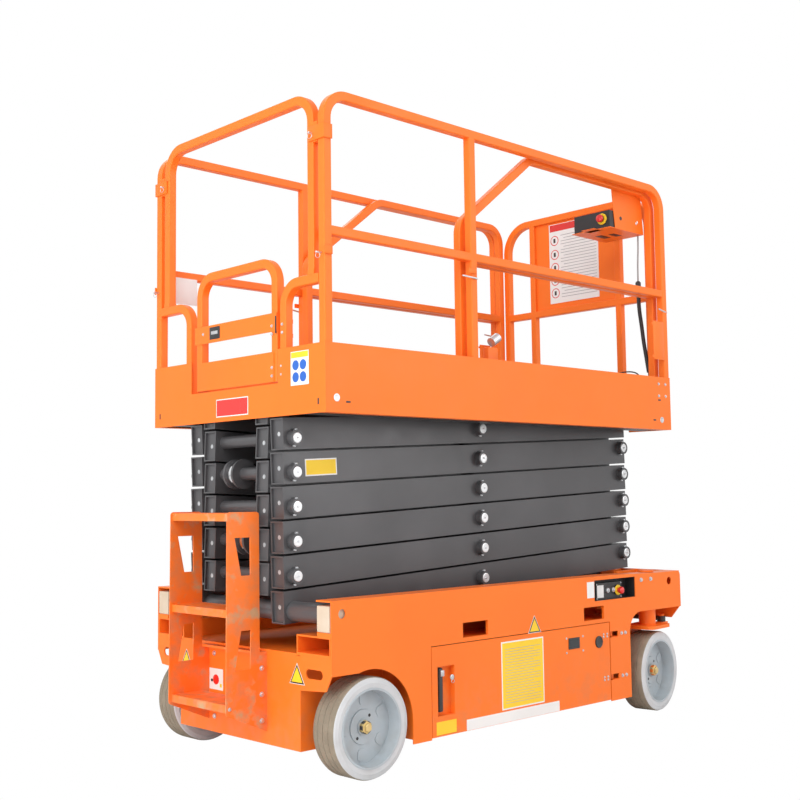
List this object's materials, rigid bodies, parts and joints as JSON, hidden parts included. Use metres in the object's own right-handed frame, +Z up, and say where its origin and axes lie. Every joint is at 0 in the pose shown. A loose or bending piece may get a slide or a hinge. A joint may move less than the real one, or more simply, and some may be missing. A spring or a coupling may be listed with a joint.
{
  "type": "scissor lift",
  "caption": "Self-propelled electric scissor lift: stacked crossed arms on a steerable wheeled chassis raise a railed platform with a sliding extension deck.",
  "frame": {"origin": "on the ground under the middle of the machine's outline as it parks", "axes": "+X towards the steered wheels and the extension deck, +Y to the side away from the ground controls, +Z up"},
  "size_m": [2.4854, 1.2168, 2.62],
  "materials": {
    "orange": "gloss powder coat",
    "arm_grey": "semi-gloss",
    "rail_orange": "gloss powder coat",
    "rim_grey": "semi-gloss",
    "tyre": "matte, non-marking",
    "cream": "satin",
    "steel": "machined",
    "chrome": "polished",
    "black": "matte",
    "dark_steel": "semi-gloss",
    "sign_white": "satin",
    "rubber": "matte",
    "deck": "embossed tread plate"
  },
  "bodies": {
    "chassis": {"chassis_frame": "orange", "chassis_belly": "orange", "side_plate_near": "orange", "side_plate_far": "orange", "ladder": "orange", "ground_control": "black", "rear_axle": "dark_steel"},
    "door_near": {"door_near": "orange", "battery_pack": "black"},
    "door_far": {"door_far": "orange", "hydraulic_unit": "dark_steel"},
    "knuckle_near": {"knuckle_near": "dark_steel"},
    "knuckle_far": {"knuckle_far": "dark_steel"},
    "track_rod": {"track_rod": "dark_steel"},
    "wheel_rear_near": {"tyre_rear_near": "tyre", "rim_rear_near": "rim_grey"},
    "wheel_rear_far": {"tyre_rear_far": "tyre", "rim_rear_far": "rim_grey"},
    "wheel_front_near": {"tyre_front_near": "tyre", "rim_front_near": "rim_grey"},
    "wheel_front_far": {"tyre_front_far": "tyre", "rim_front_far": "rim_grey"},
    "inner_1": {"inner_arms_1": "arm_grey"},
    "outer_1": {"outer_arms_1": "arm_grey"},
    "inner_2": {"inner_arms_2": "arm_grey"},
    "outer_2": {"outer_arms_2": "arm_grey"},
    "inner_3": {"inner_arms_3": "arm_grey"},
    "outer_3": {"outer_arms_3": "arm_grey"},
    "inner_4": {"inner_arms_4": "arm_grey"},
    "outer_4": {"outer_arms_4": "arm_grey"},
    "inner_5": {"inner_arms_5": "arm_grey"},
    "outer_5": {"outer_arms_5": "arm_grey"},
    "inner_6": {"inner_arms_6": "arm_grey"},
    "outer_6": {"outer_arms_6": "arm_grey"},
    "lower_slide": {"lower_slide_shaft": "steel", "lower_slide_blocks": "cream"},
    "upper_slide": {"upper_slide_blocks": "cream"},
    "lower_barrel": {"lower_lift_barrel": "dark_steel"},
    "lower_rod": {"lower_lift_rod": "chrome"},
    "upper_barrel": {"upper_lift_barrel": "dark_steel"},
    "upper_rod": {"upper_lift_rod": "chrome"},
    "platform": {"platform_deck": "rail_orange", "platform_underframe": "dark_steel", "guard_rail_near": "rail_orange", "guard_rail_far": "rail_orange", "rear_hoop": "rail_orange", "entry_rails": "rail_orange"},
    "gate": {"entry_gate": "rail_orange"},
    "extension": {"extension_deck": "deck", "extension_rail_near": "rail_orange", "extension_rail_far": "rail_orange", "front_hoop": "rail_orange", "front_panel": "rail_orange", "sign_plate": "sign_white", "control_bracket": "rail_orange", "control_box": "black", "control_lead": "rubber", "cable_connector": "black", "control_conduit": "rubber", "deck_cable": "rubber"}
  },
  "joints": [
    {"name": "lift", "type": "hinge", "parent": "chassis", "child": "inner_1", "pos_m": [1.14, 0, 0.6206], "axis": [0, 1, 0], "range_deg": [0, 55.9]},
    {"name": "mid_pins_1", "type": "hinge", "parent": "inner_1", "child": "outer_1", "pos_m": [0.06649, 0, 0.6876], "axis": [0, 1, 0], "range_deg": [-112, 0]},
    {"name": "front_pins_1", "type": "hinge", "parent": "outer_1", "child": "inner_2", "pos_m": [1.14, 0, 0.7546], "axis": [0, 1, 0], "range_deg": [0, 112]},
    {"name": "mid_pins_2", "type": "hinge", "parent": "inner_2", "child": "outer_2", "pos_m": [0.06649, 0, 0.8216], "axis": [0, 1, 0], "range_deg": [-112, 0]},
    {"name": "front_pins_2", "type": "hinge", "parent": "outer_2", "child": "inner_3", "pos_m": [1.14, 0, 0.8886], "axis": [0, 1, 0], "range_deg": [0, 112]},
    {"name": "mid_pins_3", "type": "hinge", "parent": "inner_3", "child": "outer_3", "pos_m": [0.06649, 0, 0.9556], "axis": [0, 1, 0], "range_deg": [-112, 0]},
    {"name": "front_pins_3", "type": "hinge", "parent": "outer_3", "child": "inner_4", "pos_m": [1.14, 0, 1.0226], "axis": [0, 1, 0], "range_deg": [0, 112]},
    {"name": "mid_pins_4", "type": "hinge", "parent": "inner_4", "child": "outer_4", "pos_m": [0.06649, 0, 1.0896], "axis": [0, 1, 0], "range_deg": [-112, 0]},
    {"name": "front_pins_4", "type": "hinge", "parent": "outer_4", "child": "inner_5", "pos_m": [1.14, 0, 1.1566], "axis": [0, 1, 0], "range_deg": [0, 112]},
    {"name": "mid_pins_5", "type": "hinge", "parent": "inner_5", "child": "outer_5", "pos_m": [0.06649, 0, 1.2236], "axis": [0, 1, 0], "range_deg": [-112, 0]},
    {"name": "front_pins_5", "type": "hinge", "parent": "outer_5", "child": "inner_6", "pos_m": [1.14, 0, 1.2906], "axis": [0, 1, 0], "range_deg": [0, 112]},
    {"name": "mid_pins_6", "type": "hinge", "parent": "inner_6", "child": "outer_6", "pos_m": [0.06649, 0, 1.3576], "axis": [0, 1, 0], "range_deg": [-112, 0]},
    {"name": "platform_pins", "type": "hinge", "parent": "outer_6", "child": "platform", "pos_m": [1.14, 0, 1.4246], "axis": [0, 1, 0], "range_deg": [0, 56]},
    {"name": "lower_slide_pins", "type": "hinge", "parent": "outer_1", "child": "lower_slide", "pos_m": [-1.00702, 0, 0.6206], "axis": [0, 1, 0], "range_deg": [0, 56]},
    {"name": "upper_slide_pins", "type": "hinge", "parent": "inner_6", "child": "upper_slide", "pos_m": [-1.00702, 0, 1.4246], "axis": [0, 1, 0], "range_deg": [-56, 0]},
    {"name": "lower_cylinder_swing", "type": "hinge", "parent": "inner_1", "child": "lower_barrel", "pos_m": [1.14, -0.038, 0.6206], "axis": [0, 1, 0], "range_deg": [0, 10.76]},
    {"name": "lower_rod_slide", "type": "slide", "parent": "lower_barrel", "child": "lower_rod", "axis": [-0.9923, 0, 0.1239], "range_m": [0, 1.704]},
    {"name": "upper_cylinder_swing", "type": "hinge", "parent": "inner_3", "child": "upper_barrel", "pos_m": [1.14, 0.038, 0.8886], "axis": [0, 1, 0], "range_deg": [0, 10.76]},
    {"name": "upper_rod_slide", "type": "slide", "parent": "upper_barrel", "child": "upper_rod", "axis": [-0.9923, 0, 0.1239], "range_m": [0, 1.704]},
    {"name": "wheel_spin_rear_near", "type": "hinge", "parent": "chassis", "child": "wheel_rear_near", "pos_m": [-0.856, -0.5295, 0.1905], "axis": [0, 1, 0], "continuous": true},
    {"name": "steer_near", "type": "hinge", "parent": "chassis", "child": "knuckle_near", "pos_m": [1.047, -0.5205, 0.19], "axis": [0, 0, 1], "range_deg": [-72.2, 57.8]},
    {"name": "wheel_spin_front_near", "type": "hinge", "parent": "knuckle_near", "child": "wheel_front_near", "pos_m": [1.047, -0.5205, 0.1905], "axis": [-0.1253, 0.9921, 0], "continuous": true},
    {"name": "wheel_spin_rear_far", "type": "hinge", "parent": "chassis", "child": "wheel_rear_far", "pos_m": [-0.856, 0.5295, 0.1905], "axis": [0, 1, 0], "continuous": true},
    {"name": "steer_far", "type": "hinge", "parent": "chassis", "child": "knuckle_far", "pos_m": [1.047, 0.5205, 0.19], "axis": [0, 0, 1], "range_deg": [-72.2, 57.8]},
    {"name": "wheel_spin_front_far", "type": "hinge", "parent": "knuckle_far", "child": "wheel_front_far", "pos_m": [1.047, 0.5205, 0.1905], "axis": [-0.1253, 0.9921, 0], "continuous": true},
    {"name": "track_rod_near_end", "type": "hinge", "parent": "knuckle_near", "child": "track_rod", "pos_m": [1.19582, -0.5017, 0.427], "axis": [0, 0, 1], "range_deg": [-57.9, 72.3]},
    {"name": "door_near_hinge", "type": "hinge", "parent": "chassis", "child": "door_near", "pos_m": [0.681, -0.56, 0.283], "axis": [0, 0, 1], "range_deg": [0, 90]},
    {"name": "door_far_hinge", "type": "hinge", "parent": "chassis", "child": "door_far", "pos_m": [0.681, 0.56, 0.283], "axis": [0, 0, -1], "range_deg": [0, 90]},
    {"name": "gate_hinge", "type": "hinge", "parent": "platform", "child": "gate", "pos_m": [-1.018, -0.301, 1.63], "axis": [0, 0, -1], "range_deg": [0, 90]},
    {"name": "extension_slide", "type": "slide", "parent": "platform", "child": "extension", "axis": [1, 0, 0], "range_m": [0, 0.9]}
  ],
  "couplings": [
    {"joint": "mid_pins_1", "follows": "lift", "ratio": -2},
    {"joint": "front_pins_1", "follows": "lift", "ratio": 2},
    {"joint": "mid_pins_2", "follows": "lift", "ratio": -2},
    {"joint": "front_pins_2", "follows": "lift", "ratio": 2},
    {"joint": "mid_pins_3", "follows": "lift", "ratio": -2},
    {"joint": "front_pins_3", "follows": "lift", "ratio": 2},
    {"joint": "mid_pins_4", "follows": "lift", "ratio": -2},
    {"joint": "front_pins_4", "follows": "lift", "ratio": 2},
    {"joint": "mid_pins_5", "follows": "lift", "ratio": -2},
    {"joint": "front_pins_5", "follows": "lift", "ratio": 2},
    {"joint": "mid_pins_6", "follows": "lift", "ratio": -2},
    {"joint": "platform_pins", "follows": "lift", "ratio": 1},
    {"joint": "lower_slide_pins", "follows": "lift", "ratio": 1},
    {"joint": "upper_slide_pins", "follows": "lift", "ratio": -1},
    {"joint": "lower_cylinder_swing", "follows": "lift", "ratio": 0.18884},
    {"joint": "lower_rod_slide", "follows": "lift", "m_per_rad": 1.7425},
    {"joint": "upper_cylinder_swing", "follows": "lift", "ratio": 0.18884},
    {"joint": "upper_rod_slide", "follows": "lift", "m_per_rad": 1.7425},
    {"joint": "steer_far", "follows": "steer_near", "ratio": 1},
    {"joint": "track_rod_near_end", "follows": "steer_near", "ratio": -1}
  ]
}
